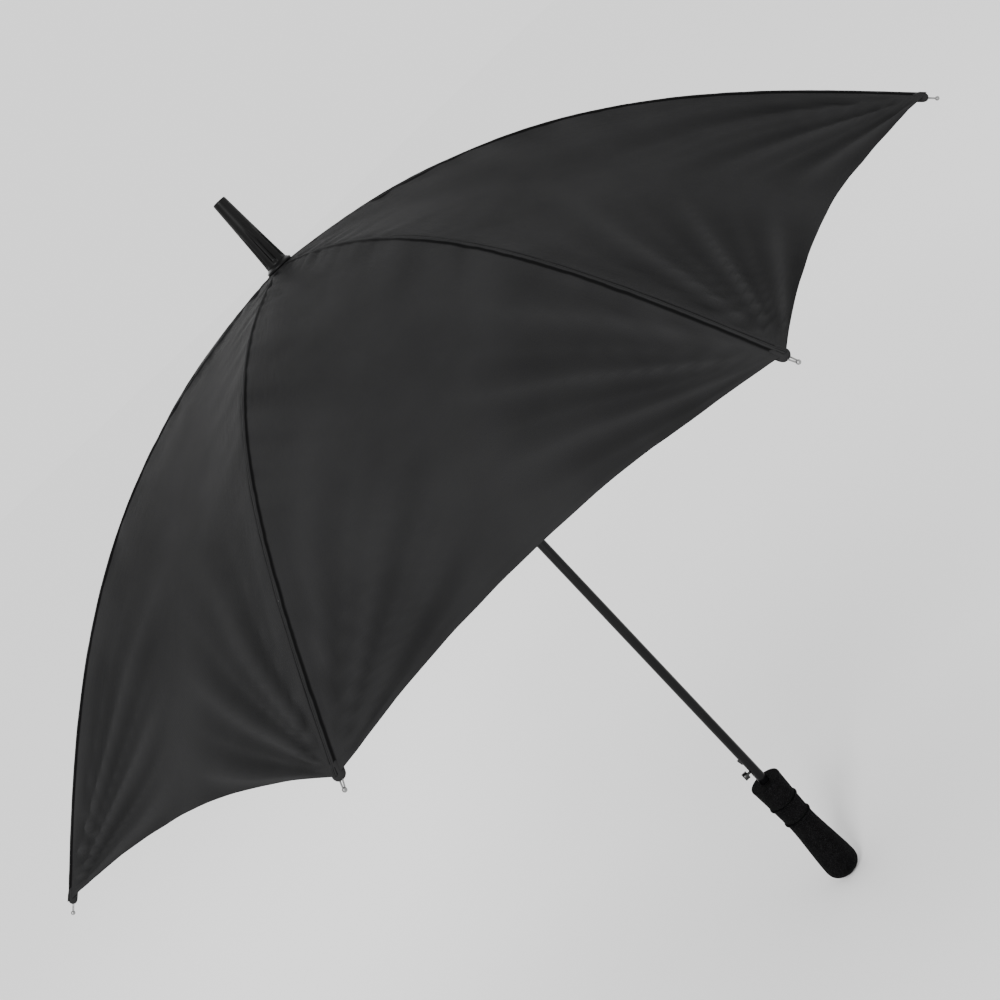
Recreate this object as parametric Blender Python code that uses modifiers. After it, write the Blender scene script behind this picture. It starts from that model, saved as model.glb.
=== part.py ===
"""Golf umbrella, open and upright: metres, +Z up, origin at the centre of the handle's end.

The shaft is the fixed body. Eight ribs hinge on a crown at its top, eight stretchers join them to a runner
that slides on the shaft, and sixteen half panels of fabric make the canopy. Each stretcher is as long as
the rib is from the crown to the stretcher's pin, so the runner travels straight along the shaft.
"""

import math

import bmesh
import bpy
from mathutils import Matrix, Vector

# Driving dimensions
RIB_COUNT = 8
TIP_RADIUS = 0.600  # from the axis to a rib tip's ball, canopy open
APEX_Z = 0.940  # top of the canopy
FERRULE_END_Z = 1.0285
HANDLE_TOP_Z = 0.1532
FIRST_SLOPE = math.radians(6.0)  # the canopy's slope at the apex, and at the tips
LAST_SLOPE = math.radians(43.2)
FIRST_RIB_AZIMUTH = math.radians(-112.5)  # puts the first panel's middle on -Y

# Gaps between solids
GAP = 0.0004
RUNNING = 0.0003

# Fabric
CLOTH_THICK = 0.0010
CLOTH_HOLE = 0.0085
CLOTH_CORNER = 0.5925  # radius of a panel's corner, just short of the tip's ball
HEM_SCALLOP = 0.030  # how far the hem is drawn in at the middle of a panel
CLOTH_SAG = 0.007  # how far a panel's middle is drawn towards the shaft
PANEL_ROWS = 12
HALF_COLUMNS = 3

# Shaft, crown and runner
SHAFT_R = 0.0057
SHAFT_BORE = 0.0050
SHAFT_BOTTOM = 0.012
SHAFT_TOP = 0.985
HUB_BORE = SHAFT_R + RUNNING
HUB_SLEEVE = 0.0086
HUB_FLANGE = 0.0135
HUB_HALF = 0.0045  # half the notched flange's height
NOTCH_WIDTH = 0.0040
NOTCH_BOTTOM = 0.0076
PIVOT_R = 0.0105  # radius of the two wire rings that carry the ribs and the stretchers
CROWN_Z = 0.930
WIRE_R = 0.0005
EYE_HOLE = 0.0009
RUNNER_END_CLOSED = 0.1962  # height of the runner's lower end, canopy closed: just above the catch's tooth
FLANGE_R = 0.0155  # the washer under the ferrule

# Ribs and stretchers
RIB_R = 0.0013
RIB_UNDER_CLOTH = 0.0042
RIB_END = 0.5855  # radius where the bar ends and its tip begins
JOINT_RADIUS = 0.352  # radius of the pin that joins a stretcher to its rib
JOINT_OFFSET = 0.0042  # how far that pin lies under the bar
EYE_R = 0.0026
EYE_HALF = 0.0016
CLOSED_TIP_RADIUS = 0.026

# Handle
GRIP_WAIST_Z = 0.086
GRIP_WAIST_R = 0.0162
GRIP_BELLY_Z = 0.018
GRIP_BELLY_R = 0.0209
GRIP_RING_Z = (0.1197, 0.0946)
GRIP_RING_R = 0.0015
GROOVE_HALF = GRIP_RING_R + GAP
CORE_R = 0.0090  # the plastic sleeve inside the grip
CORE_BOTTOM = 0.0075

# Release catch, on the -X side of the shaft
KNOB_Z = 0.173
KNOB_R = 0.0046
KNOB_END = 0.0150  # from the axis to the knob's face
STEM_R = 0.0014
STRIP_X = 0.0040  # from the axis to the middle of the spring strip
TOOTH_Z = 0.190
TOOTH_REACH = 0.0078  # from the axis to the tooth's edge
TOOTH_RAMP = 0.0064
TOOTH_HALF = 0.0040
WINDOW_HALF = 0.0018

PITCH = 2 * math.pi / RIB_COUNT
HALF_PITCH = PITCH / 2
PROFILE_STEPS = 240

collection = bpy.data.collections.new("golf_umbrella")
cutters = bpy.data.collections.new("cutters")


# The canopy's curve, from the axis out to a rib tip

def slope(radius):
    """The canopy's angle below level, over a rib, at a distance from the axis."""
    t = min(radius / TIP_RADIUS, 1.0)
    return FIRST_SLOPE + (LAST_SLOPE - FIRST_SLOPE) * t * t * (3 - 2 * t)


def curve_points():
    """(length along the curve, radius, height) at even steps of radius."""
    step = TIP_RADIUS / PROFILE_STEPS
    length, height = 0.0, APEX_Z
    points = [(0.0, 0.0, APEX_Z)]
    for i in range(PROFILE_STEPS):
        angle = slope((i + 0.5) * step)
        length += step / math.cos(angle)
        height -= step * math.tan(angle)
        points.append((length, (i + 1) * step, height))
    return points


CURVE = curve_points()


def along_curve(value, column=0):
    """The curve's (length, radius, height) where its length (column 0) or radius (column 1) has a value."""
    for a, b in zip(CURVE, CURVE[1:]):
        if b[column] >= value:
            t = (value - a[column]) / (b[column] - a[column])
            return tuple(p + (q - p) * t for p, q in zip(a, b))
    return CURVE[-1]


def rib_point(radius, under=RIB_UNDER_CLOTH):
    """A point in a rib's own plane, X out and Z up, a distance under the cloth along its normal."""
    _, r, z = along_curve(radius, 1)
    angle = slope(r)
    return Vector((r - under * math.sin(angle), 0, z - under * math.cos(angle)))


def panel_point(length, across):
    """A point of a panel whose middle faces +X: length along the rib's curve, across from -1 to 1."""
    _, r, z = along_curve(length)
    sag = CLOTH_SAG * (1 - across * across) * math.sin(math.pi * min(length / HEM_LENGTH, 1.0) ** 1.3 * 0.75)
    angle = slope(r)
    middle = r * math.cos(HALF_PITCH)
    return Vector((
        middle - sag * math.sin(angle),
        r * math.sin(HALF_PITCH) * across,
        z - sag * math.cos(angle),
    ))


def hem_length(across):
    """Length along the curve at which the hem crosses a panel."""
    return HEM_LENGTH - HEM_SCALLOP * (1 - across * across)


HEM_LENGTH = along_curve(CLOTH_CORNER, 1)[0]

# The linkage, in a rib's own plane
CROWN_PIVOT = Vector((PIVOT_R, 0, CROWN_Z))
JOINT_PIVOT = rib_point(JOINT_RADIUS, RIB_UNDER_CLOTH + JOINT_OFFSET)
TIP_BALL = rib_point(TIP_RADIUS)
LINK = (JOINT_PIVOT - CROWN_PIVOT).length
RUNNER_PIVOT = Vector((PIVOT_R, 0, 2 * JOINT_PIVOT.z - CROWN_Z))


def polar(point):
    """The angle from straight down to a point, about the crown's pivot."""
    d = point - CROWN_PIVOT
    return math.atan2(d.x, -d.z)


FOLD = polar(TIP_BALL) - math.asin((CLOSED_TIP_RADIUS - PIVOT_R) / (TIP_BALL - CROWN_PIVOT).length)
RUNNER_TRAVEL = 2 * LINK * (math.cos(polar(JOINT_PIVOT) - FOLD) - math.cos(polar(JOINT_PIVOT)))
RUNNER_BELOW = RUNNER_PIVOT.z - RUNNER_TRAVEL - RUNNER_END_CLOSED


# Helpers

def material(name, colour, roughness, metallic=0.0):
    made = bpy.data.materials.new(name)
    made.use_nodes = True
    shader = made.node_tree.nodes["Principled BSDF"]
    shader.inputs["Base Color"].default_value = (*colour, 1)
    shader.inputs["Roughness"].default_value = roughness
    shader.inputs["Metallic"].default_value = metallic
    return made


def add(name, data, finish=None, home=None):
    """A new object of the umbrella, or of the cutters."""
    thing = bpy.data.objects.new(name, data)
    (home or collection).objects.link(thing)
    if finish and not data.materials:
        data.materials.append(finish)
    return thing


def smooth(data):
    data.shade_smooth()
    data.set_sharp_from_angle(angle=math.radians(35))


def cutter(name, make, matrix):
    """A hidden mesh object that a Boolean uses, made by a bmesh operator."""
    data = bpy.data.meshes.new(name)
    shape = bmesh.new()
    make(shape)
    shape.transform(matrix)
    shape.to_mesh(data)
    shape.free()
    thing = add(name, data, home=cutters)
    thing.hide_render = True
    thing.display_type = "WIRE"
    return thing


def box(name, low, high, turn=0.0):
    """A cutter box between two corners, turned about the Z axis."""
    low, high = Vector(low), Vector(high)
    matrix = Matrix.Rotation(turn, 4, "Z") @ Matrix.Translation((low + high) / 2)
    matrix = matrix @ Matrix.Diagonal((*(high - low), 1))
    return cutter(name, lambda shape: bmesh.ops.create_cube(shape, size=1), matrix)


def rod(name, start, end, radius, segments=12):
    """A cutter cylinder from one point to another."""
    start, end = Vector(start), Vector(end)
    line = end - start
    matrix = Matrix.Translation((start + end) / 2) @ line.to_track_quat("Z", "Y").to_matrix().to_4x4()

    def make(shape):
        bmesh.ops.create_cone(
            shape, cap_ends=True, segments=segments, radius1=radius, radius2=radius, depth=line.length
        )

    return cutter(name, make, matrix)


def boolean(thing, other, operation="DIFFERENCE"):
    step = thing.modifiers.new(other.name, "BOOLEAN")
    step.operation = operation
    step.object = other


def turned(name, profile, finish, segments=24, closed=False, home=None):
    """A solid of revolution about Z from (radius, height) points, listed down the outer side."""
    data = bpy.data.meshes.new(name)
    shape = bmesh.new()
    verts = [shape.verts.new((r, 0, z)) for r, z in profile]
    for a, b in zip(verts, verts[1:]):
        shape.edges.new((a, b))
    if closed:
        shape.edges.new((verts[-1], verts[0]))
    shape.to_mesh(data)
    shape.free()
    thing = add(name, data, finish, home)
    screw = thing.modifiers.new("Turn", "SCREW")
    screw.steps = screw.render_steps = segments
    screw.use_merge_vertices = True
    screw.merge_threshold = 0.00001
    screw.use_normal_calculate = False
    return thing


def wire(name, points, radius, finish, resolution=1, cyclic=False, home=None):
    """A round bar or wire through points."""
    data = bpy.data.curves.new(name, "CURVE")
    data.dimensions = "3D"
    data.bevel_depth = radius
    data.bevel_resolution = resolution
    data.use_fill_caps = True
    spline = data.splines.new("POLY")
    spline.points.add(len(points) - 1)
    for point, place in zip(spline.points, points):
        point.co = (*place, 1)
    spline.use_cyclic_u = cyclic
    return add(name, data, finish, home)


def solid_mesh(thing, name):
    """The evaluated mesh of an object, its caps welded, and the object removed."""
    bpy.context.view_layer.update()
    seen = thing.evaluated_get(bpy.context.evaluated_depsgraph_get())
    data = bpy.data.meshes.new_from_object(seen)
    data.transform(thing.matrix_world)
    data.name = name
    shape = bmesh.new()
    shape.from_mesh(data)
    bmesh.ops.remove_doubles(shape, verts=shape.verts, dist=0.00001)
    shape.to_mesh(data)
    shape.free()
    bpy.data.objects.remove(thing)
    return data


def joined(name, first, *steps):
    """One mesh from a first object and ("UNION" or "DIFFERENCE", cutter) steps."""
    base = add(name + "_base", solid_mesh(first, name), home=cutters)
    for operation, other in steps:
        boolean(base, other, operation)
    return solid_mesh(base, name)


def azimuth(index):
    """The direction of rib number index, which counts from 0, or of a panel's middle at index + 0.5."""
    return FIRST_RIB_AZIMUTH + index * PITCH


# Parts fixed to the shaft

def shaft_tube(finish):
    """Steel tube with a window for the catch."""
    tube = turned("shaft_tube", [
        (SHAFT_R, SHAFT_TOP), (SHAFT_R, SHAFT_BOTTOM), (SHAFT_BORE, SHAFT_BOTTOM), (SHAFT_BORE, SHAFT_TOP),
    ], finish, closed=True)
    low, high = (-0.010, -WINDOW_HALF, KNOB_Z - 0.003), (-0.002, WINDOW_HALF, TOOTH_Z + 0.006)
    boolean(tube, box("catch_window", low, high))
    return tube


def notches(hub, pivot_z):
    """Eight slots in a hub, and the groove for its wire ring."""
    low, high = pivot_z - HUB_HALF - 0.001, pivot_z + HUB_HALF + 0.001
    for i in range(RIB_COUNT):
        boolean(hub, box(f"{hub.name}_notch_{i}", (NOTCH_BOTTOM, -NOTCH_WIDTH / 2, low),
                         (HUB_FLANGE + 0.002, NOTCH_WIDTH / 2, high), azimuth(i)))
    groove = 2 * WIRE_R + 0.0002
    tunnel = turned(f"{hub.name}_groove", [
        (PIVOT_R + groove, pivot_z + groove), (PIVOT_R + groove, pivot_z - groove),
        (PIVOT_R - groove, pivot_z - groove), (PIVOT_R - groove, pivot_z + groove),
    ], None, closed=True, home=cutters)
    tunnel.hide_render = True
    tunnel.display_type = "WIRE"
    boolean(hub, tunnel)


def crown_hub(finish):
    """Notched crown that the ribs hinge in, fixed to the shaft."""
    top, bottom = CROWN_Z + HUB_HALF, CROWN_Z - HUB_HALF
    hub = turned("crown_hub", [
        (HUB_SLEEVE, top + 0.0022), (HUB_SLEEVE, top), (HUB_FLANGE, top), (HUB_FLANGE, bottom),
        (HUB_SLEEVE, bottom), (HUB_SLEEVE, bottom - 0.011), (HUB_BORE, bottom - 0.011),
        (HUB_BORE, top + 0.0022),
    ], finish, closed=True)
    notches(hub, CROWN_Z)
    return hub


def ring_wire(name, pivot_z, finish):
    """The wire that threads the eyes of eight ribs or stretchers."""
    count = 24
    points = [
        (PIVOT_R * math.cos(2 * math.pi * i / count), PIVOT_R * math.sin(2 * math.pi * i / count), pivot_z)
        for i in range(count)
    ]
    return wire(name, points, WIRE_R, finish, resolution=0, cyclic=True)


def ferrule(finish):
    """Long tapering plastic ferrule with a flat end, over the top of the shaft."""
    base = APEX_Z + 0.0045
    return turned("ferrule", [
        (0, FERRULE_END_Z), (0.0066, FERRULE_END_Z), (0.0076, FERRULE_END_Z - 0.0012),
        (0.0098, APEX_Z + 0.050), (0.0124, base), (HUB_BORE, base),
        (HUB_BORE, SHAFT_TOP + GAP), (0, SHAFT_TOP + GAP),
    ], finish)


def ferrule_flange(finish):
    """Thin dished washer under the ferrule that presses the cloth on the crown and keeps rain out."""
    low, high = APEX_Z + 0.0011, APEX_Z + 0.0041
    droop = FLANGE_R * math.tan(FIRST_SLOPE)
    return turned("ferrule_flange", [
        (FLANGE_R - 0.0015, high - droop), (FLANGE_R, high - droop - 0.0008), (FLANGE_R, low - droop),
        (HUB_BORE, low), (HUB_BORE, high), (0.0110, high),
    ], finish, closed=True)


def grip_radius(z):
    """The foam grip's outer radius: waisted under the lower ring, swelling to a blunt end."""
    if z > GRIP_WAIST_Z:
        return GRIP_WAIST_R + 0.0034 * ((z - GRIP_WAIST_Z) / (HANDLE_TOP_Z - GRIP_WAIST_Z)) ** 1.3
    if z > GRIP_BELLY_Z:
        t = (GRIP_WAIST_Z - z) / (GRIP_WAIST_Z - GRIP_BELLY_Z)
        ease = (t + t * t * (3 - 2 * t)) / 2
        return GRIP_WAIST_R + (GRIP_BELLY_R - GRIP_WAIST_R) * ease
    t = (GRIP_BELLY_Z - z) / GRIP_BELLY_Z
    return GRIP_BELLY_R * math.sqrt(max(0.0, 1 - t ** 2.8))


def ring_radius(z):
    """The centre line of a ring that is half sunk in the grip."""
    return grip_radius(z) + 0.0001


def foam_grip(finish):
    """Straight handle of dense foam with a blind bore and two grooves for its rings."""
    bore = CORE_R + RUNNING
    lip = HANDLE_TOP_Z - 0.0026
    profile = [(0, CORE_BOTTOM - RUNNING), (bore, CORE_BOTTOM - RUNNING), (bore, lip), (HUB_BORE, lip),
               (HUB_BORE, HANDLE_TOP_Z - 0.0008), (0.0182, HANDLE_TOP_Z), (0.0193, HANDLE_TOP_Z - 0.0007),
               (0.0196, HANDLE_TOP_Z - 0.0022)]
    profile += [(grip_radius(z), z) for z in (0.143, 0.131)]
    for z in GRIP_RING_Z:
        depth = ring_radius(z) - GROOVE_HALF
        profile += [(grip_radius(z + GROOVE_HALF), z + GROOVE_HALF), (depth, z + GROOVE_HALF),
                    (depth, z - GROOVE_HALF), (grip_radius(z - GROOVE_HALF), z - GROOVE_HALF)]
    for z in (0.080, 0.066, 0.052, 0.038, 0.026, 0.018, 0.011, 0.006, 0.003, 0.0010):
        profile.append((grip_radius(z), z))
    profile += [(0.0060, 0), (0, 0)]
    return turned("foam_grip", profile, finish, segments=32)


def grip_ring(name, z, finish):
    """Round ring in one of the grip's grooves."""
    centre = ring_radius(z)
    profile = []
    for i in range(8):
        angle = math.pi / 2 - 2 * math.pi * i / 8
        profile.append((centre + GRIP_RING_R * math.cos(angle), z + GRIP_RING_R * math.sin(angle)))
    return turned(name, profile, finish, segments=32, closed=True)


def handle_core(finish):
    """Plastic sleeve that fixes the grip to the shaft."""
    return turned("handle_core", [
        (0, SHAFT_BOTTOM - RUNNING), (HUB_BORE, SHAFT_BOTTOM - RUNNING), (HUB_BORE, HANDLE_TOP_Z - 0.0030),
        (CORE_R, HANDLE_TOP_Z - 0.0030), (CORE_R, CORE_BOTTOM), (0, CORE_BOTTOM),
    ], finish)


# Moving parts

def catch_strip(finish):
    """Spring strip inside the tube with the tooth that stands out of the window."""
    strip = box("strip_shape", (-STRIP_X - 0.0004, -0.0014, KNOB_Z - 0.010),
                (-STRIP_X + 0.0004, 0.0014, TOOTH_Z + 0.010))
    tooth = box("tooth_shape", (-TOOTH_REACH, -0.0013, TOOTH_Z - TOOTH_HALF),
                (-STRIP_X, 0.0013, TOOTH_Z + TOOTH_HALF))
    for vert in tooth.data.vertices:
        if vert.co.x < -STRIP_X - 0.001 and vert.co.z < TOOTH_Z:
            vert.co.x = -TOOTH_RAMP
    mesh = joined("catch_strip", strip, ("UNION", tooth))
    return add("catch_strip", mesh, finish)


def release_knob(finish):
    """Short metal button on a stem that stands off the strip."""
    z = KNOB_Z
    stem = rod("stem_shape", (-STRIP_X - 0.0004 - GAP, 0, z), (-0.0100, 0, z), STEM_R)
    head = rod("head_shape", (-0.0085, 0, z), (-KNOB_END, 0, z), KNOB_R, segments=20)
    mesh = joined("release_knob", stem, ("UNION", head))
    knob = add("release_knob", mesh, finish)
    rim = knob.modifiers.new("Rim", "BEVEL")
    rim.width = 0.0003
    rim.segments = 1
    rim.limit_method = "ANGLE"
    rim.angle_limit = math.radians(50)
    return knob


def runner_sleeve(finish):
    """Sleeve that slides on the shaft, notched at its top for the stretchers."""
    z = RUNNER_PIVOT.z
    top, bottom, end = z + HUB_HALF, z - HUB_HALF, z - RUNNER_BELOW
    sleeve = turned("runner_sleeve", [
        (HUB_SLEEVE, top + 0.003), (HUB_SLEEVE, top), (HUB_FLANGE, top), (HUB_FLANGE, bottom),
        (HUB_SLEEVE, bottom), (HUB_SLEEVE, end + 0.010), (0.0118, end + 0.006), (0.0118, end),
        (HUB_BORE, end), (HUB_BORE, top + 0.003),
    ], finish, closed=True)
    notches(sleeve, z)
    return sleeve


def rib(index, finish):
    """Bent bar with an eye on the crown's wire and a bracket for its stretcher."""
    name = f"rib_{index + 1}"
    path = [CROWN_PIVOT + Vector((0.0017, 0, 0.0005)), rib_point(0.024)]
    steps = 13
    path += [rib_point(0.024 + (RIB_END - 0.024) * i / steps) for i in range(1, steps + 1)]
    bar = wire(name + "_bar", path, RIB_R, None, resolution=1, home=cutters)
    y = Vector((0, 1, 0))
    lean = Matrix.Rotation(slope(JOINT_RADIUS), 4, "Y")
    on_bar = rib_point(JOINT_RADIUS)

    def bracket_box(tag, low, high):
        shape = box(f"{name}_{tag}", low, high)
        shape.data.transform(Matrix.Translation(on_bar) @ lean)
        return shape

    mesh = joined(
        name, bar,
        ("UNION", rod(name + "_eye", CROWN_PIVOT - y * EYE_HALF, CROWN_PIVOT + y * EYE_HALF, EYE_R, 14)),
        ("DIFFERENCE", rod(name + "_hole", CROWN_PIVOT - y * 0.004, CROWN_PIVOT + y * 0.004, EYE_HOLE, 10)),
        ("UNION", bracket_box("saddle", (-0.0045, -0.0034, -0.0007), (0.0045, 0.0034, 0.0019))),
        ("UNION", bracket_box("cheek_a", (-0.0022, 0.0020, -0.0062), (0.0022, 0.0029, 0.0001))),
        ("UNION", bracket_box("cheek_b", (-0.0022, -0.0029, -0.0062), (0.0022, -0.0020, 0.0001))),
        ("UNION", rod(name + "_pin", JOINT_PIVOT - y * 0.0034, JOINT_PIVOT + y * 0.0034, 0.0007, 10)),
    )
    return placed(name, mesh, CROWN_PIVOT, index, finish)


def rib_tip(index, finish):
    """Wire tip with a ball end, where the cloth's corner is tied."""
    name = f"rib_tip_{index + 1}"
    start, end = rib_point(RIB_END + 0.0004), rib_point(TIP_RADIUS - 0.0008)
    line = (end - start).normalized()
    y = Vector((0, 1, 0))
    ball = cutter(name + "_ball",
                  lambda shape: bmesh.ops.create_icosphere(shape, subdivisions=2, radius=0.0021),
                  Matrix.Translation(TIP_BALL))
    mesh = joined(
        name, rod(name + "_collar", start, start + line * 0.003, 0.0021, 12),
        ("UNION", rod(name + "_strand_a", start + line * 0.001 + y * 0.0013, end + y * 0.0011, 0.0006, 8)),
        ("UNION", rod(name + "_strand_b", start + line * 0.001 - y * 0.0013, end - y * 0.0011, 0.0006, 8)),
        ("UNION", ball),
    )
    return placed(name, mesh, CROWN_PIVOT, index, finish)


def stretcher(index, finish):
    """Straight strut from the runner's wire to the rib's bracket, with an eye at each end."""
    name = f"stretcher_{index + 1}"
    low, high = RUNNER_PIVOT, JOINT_PIVOT
    line = (high - low).normalized()
    y = Vector((0, 1, 0))
    ends = [low + line * 0.0017, high - line * 0.0017]
    bar = wire(name + "_bar", ends, RIB_R, None, resolution=1, home=cutters)
    mesh = joined(
        name, bar,
        ("UNION", rod(name + "_eye_low", low - y * EYE_HALF, low + y * EYE_HALF, EYE_R, 14)),
        ("UNION", rod(name + "_eye_high", high - y * EYE_HALF, high + y * EYE_HALF, 0.0023, 14)),
        ("DIFFERENCE", rod(name + "_hole_low", low - y * 0.004, low + y * 0.004, EYE_HOLE, 10)),
        ("DIFFERENCE", rod(name + "_hole_high", high - y * 0.004, high + y * 0.004, 0.0011, 10)),
    )
    return placed(name, mesh, JOINT_PIVOT, index, finish)


def placed(name, mesh, pivot, index, finish):
    """An object made in a rib's own plane, turned to the rib's azimuth with its origin on the pivot."""
    mesh.transform(Matrix.Translation(-pivot))
    thing = add(name, mesh, finish)
    turn = Matrix.Rotation(azimuth(index), 4, "Z")
    thing.matrix_world = turn @ Matrix.Translation(pivot)
    return thing


def half_panel(index, side, finish):
    """Half a panel of cloth, from its middle to the rib it is sewn to (side -1 left, 1 right)."""
    name = f"panel_{index + 1}_{'left' if side < 0 else 'right'}"
    rib_index = index if side < 0 else index + 1
    turn = Matrix.Rotation(azimuth(index + 0.5), 4, "Z")
    pivot = Matrix.Rotation(azimuth(rib_index), 4, "Z") @ CROWN_PIVOT
    start = along_curve(CLOTH_HOLE, 1)[0]
    data = bpy.data.meshes.new(name)
    shape = bmesh.new()
    grid = []
    for i in range(PANEL_ROWS + 1):
        row = []
        for j in range(HALF_COLUMNS + 1):
            across = side * j / HALF_COLUMNS
            length = start + (hem_length(across) - start) * (i / PANEL_ROWS)
            place = panel_point(length, across)
            if j == 0:
                place.y += side * GAP / 2
            elif j == HALF_COLUMNS:
                place.y -= side * GAP
            row.append(shape.verts.new(turn @ place - pivot))
        grid.append(row)
    for a, b in zip(grid, grid[1:]):
        for j in range(HALF_COLUMNS):
            corners = (a[j], b[j], b[j + 1], a[j + 1])
            shape.faces.new(corners if side > 0 else corners[::-1])
    shape.to_mesh(data)
    shape.free()
    thing = add(name, data, finish)
    thing.location = pivot
    cloth = thing.modifiers.new("Cloth", "SOLIDIFY")
    cloth.thickness = CLOTH_THICK
    cloth.offset = 0
    smooth(data)
    return thing


def build():
    for thing in list(bpy.data.objects):
        bpy.data.objects.remove(thing)
    bpy.context.scene.collection.children.link(collection)
    bpy.context.scene.collection.children.link(cutters)
    cutters.hide_render = True

    steel_black = material("shaft_black", (0.012, 0.012, 0.013), 0.22, 0.0)
    plastic = material("crown_black", (0.020, 0.020, 0.021), 0.55)
    moulded = material("ferrule_black", (0.018, 0.018, 0.019), 0.42)
    foam = material("grip_foam", (0.016, 0.016, 0.017), 0.90)
    silver = material("bright_wire", (0.62, 0.62, 0.63), 0.28, 1.0)
    knob_metal = material("knob_metal", (0.09, 0.09, 0.095), 0.35, 1.0)
    fibre = material("rib_fibre", (0.015, 0.015, 0.016), 0.35)
    cloth = material("canopy_cloth", (0.022, 0.022, 0.025), 0.60)

    shaft_tube(steel_black)
    handle_core(plastic)
    foam_grip(foam)
    grip_ring("grip_ring_upper", GRIP_RING_Z[0], foam)
    grip_ring("grip_ring_lower", GRIP_RING_Z[1], foam)
    crown_hub(plastic)
    ring_wire("crown_wire", CROWN_Z, silver)
    ferrule(moulded)
    ferrule_flange(moulded)
    catch_strip(knob_metal)
    release_knob(knob_metal)
    runner_sleeve(plastic)
    ring_wire("runner_wire", RUNNER_PIVOT.z, silver)
    for i in range(RIB_COUNT):
        rib(i, fibre)
        rib_tip(i, silver)
        stretcher(i, fibre)
        half_panel(i, -1, cloth)
        half_panel(i, 1, cloth)


build()
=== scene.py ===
"""Looks of the golf umbrella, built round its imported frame: metres, +Z up, the shaft on the Z axis."""

import math

import bmesh
import bpy
import numpy as np
from mathutils import Matrix, Vector, noise


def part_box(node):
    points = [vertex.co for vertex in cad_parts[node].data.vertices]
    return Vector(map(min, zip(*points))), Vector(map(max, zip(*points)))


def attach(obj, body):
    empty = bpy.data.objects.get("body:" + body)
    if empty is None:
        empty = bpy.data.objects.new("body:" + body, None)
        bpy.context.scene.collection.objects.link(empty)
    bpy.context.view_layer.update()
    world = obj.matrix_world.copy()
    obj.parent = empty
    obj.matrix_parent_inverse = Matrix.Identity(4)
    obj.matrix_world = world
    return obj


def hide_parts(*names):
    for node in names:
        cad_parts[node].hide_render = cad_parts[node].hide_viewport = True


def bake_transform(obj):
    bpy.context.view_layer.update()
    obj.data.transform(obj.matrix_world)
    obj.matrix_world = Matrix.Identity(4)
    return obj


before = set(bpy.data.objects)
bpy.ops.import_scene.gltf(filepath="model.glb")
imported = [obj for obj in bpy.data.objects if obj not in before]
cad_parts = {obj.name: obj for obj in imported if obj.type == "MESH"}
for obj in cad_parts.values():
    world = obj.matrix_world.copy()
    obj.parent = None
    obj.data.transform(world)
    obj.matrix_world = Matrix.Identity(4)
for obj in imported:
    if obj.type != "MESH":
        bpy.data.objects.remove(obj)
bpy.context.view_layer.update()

# Canopy, as the frame's panels were made
RIB_COUNT = 8
TIP_RADIUS = 0.600
APEX_Z = 0.940
FIRST_SLOPE = math.radians(6.0)
LAST_SLOPE = math.radians(43.2)
FIRST_RIB_AZIMUTH = math.radians(-112.5)
PITCH = 2 * math.pi / RIB_COUNT
HALF_PITCH = PITCH / 2
CLOTH_HOLE = 0.0085
CLOTH_CORNER = 0.5925
HEM_SCALLOP = 0.030
CLOTH_SAG = 0.007
RIB_UNDER_CLOTH = 0.0042
PROFILE_STEPS = 480
CLOTH_ROWS = 160
CLOTH_THICK = 0.0005

# Shaft, ferrule, grip and catch
SHAFT_R = 0.0057
FLANGE_R = 0.0155
HUB_BORE = 0.0060
HANDLE_TOP_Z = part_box("foam_grip")[1][2]
FERRULE_END_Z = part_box("ferrule")[1][2]
FERRULE_BASE_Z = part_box("ferrule")[0][2]
CORE_R = 0.0090
GRIP_WAIST_Z = 0.086
GRIP_WAIST_R = 0.0162
GRIP_BELLY_Z = 0.018
GRIP_BELLY_R = 0.0209
GRIP_RING_Z = (0.1197, 0.0946)
GRIP_RING_R = 0.0015
KNOB_Z = 0.173
TOOTH_Z = 0.190

# Camera
AIM = Vector((0, 0, 0.601))
DISTANCE = 1.7256
ELEVATION = math.radians(12.4)
ROLL = math.atan2(0.6859, 0.7277)
LENS = 57.85
SENSOR_WIDTH = 36
CLIP_START = 0.05
CLIP_END = 200


# Helpers

WIRE_ROUNDNESS = 4
WIRE_SMOOTH_ANGLE = math.radians(50)


def link(thing):
    bpy.context.scene.collection.objects.link(thing)
    return thing


def mesh_object(name, shape, finish, smooth_angle=None):
    """A new mesh object from a bmesh, smooth but for edges sharper than an angle."""
    data = bpy.data.meshes.new(name)
    shape.to_mesh(data)
    shape.free()
    data.shade_smooth()
    if smooth_angle is not None:
        data.set_sharp_from_angle(angle=math.radians(smooth_angle))
    data.materials.append(finish)
    return link(bpy.data.objects.new(name, data))


def rings_to_shape(rings):
    """A closed skin over rings of points, listed from the bottom up and anticlockwise from above."""
    shape = bmesh.new()
    rows = [[shape.verts.new(point) for point in ring] for ring in rings]
    for low, high in zip(rows, rows[1:]):
        count = len(low)
        for i in range(count):
            j = (i + 1) % count
            shape.faces.new((low[i], low[j], high[j], high[i]))
    shape.faces.new(rows[0][::-1])
    shape.faces.new(rows[-1])
    return shape


def turned_shape(profile, segments, radius_at=None):
    """A closed solid from (radius, height) points, bottom to top.

    radius_at may change a radius by its height and angle.
    """
    rings = []
    for r, z in profile:
        ring = []
        for i in range(segments):
            angle = 2 * math.pi * i / segments
            rr = radius_at(r, z, angle) if radius_at else r
            ring.append((rr * math.cos(angle), rr * math.sin(angle), z))
        rings.append(ring)
    return rings_to_shape(rings)


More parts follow.
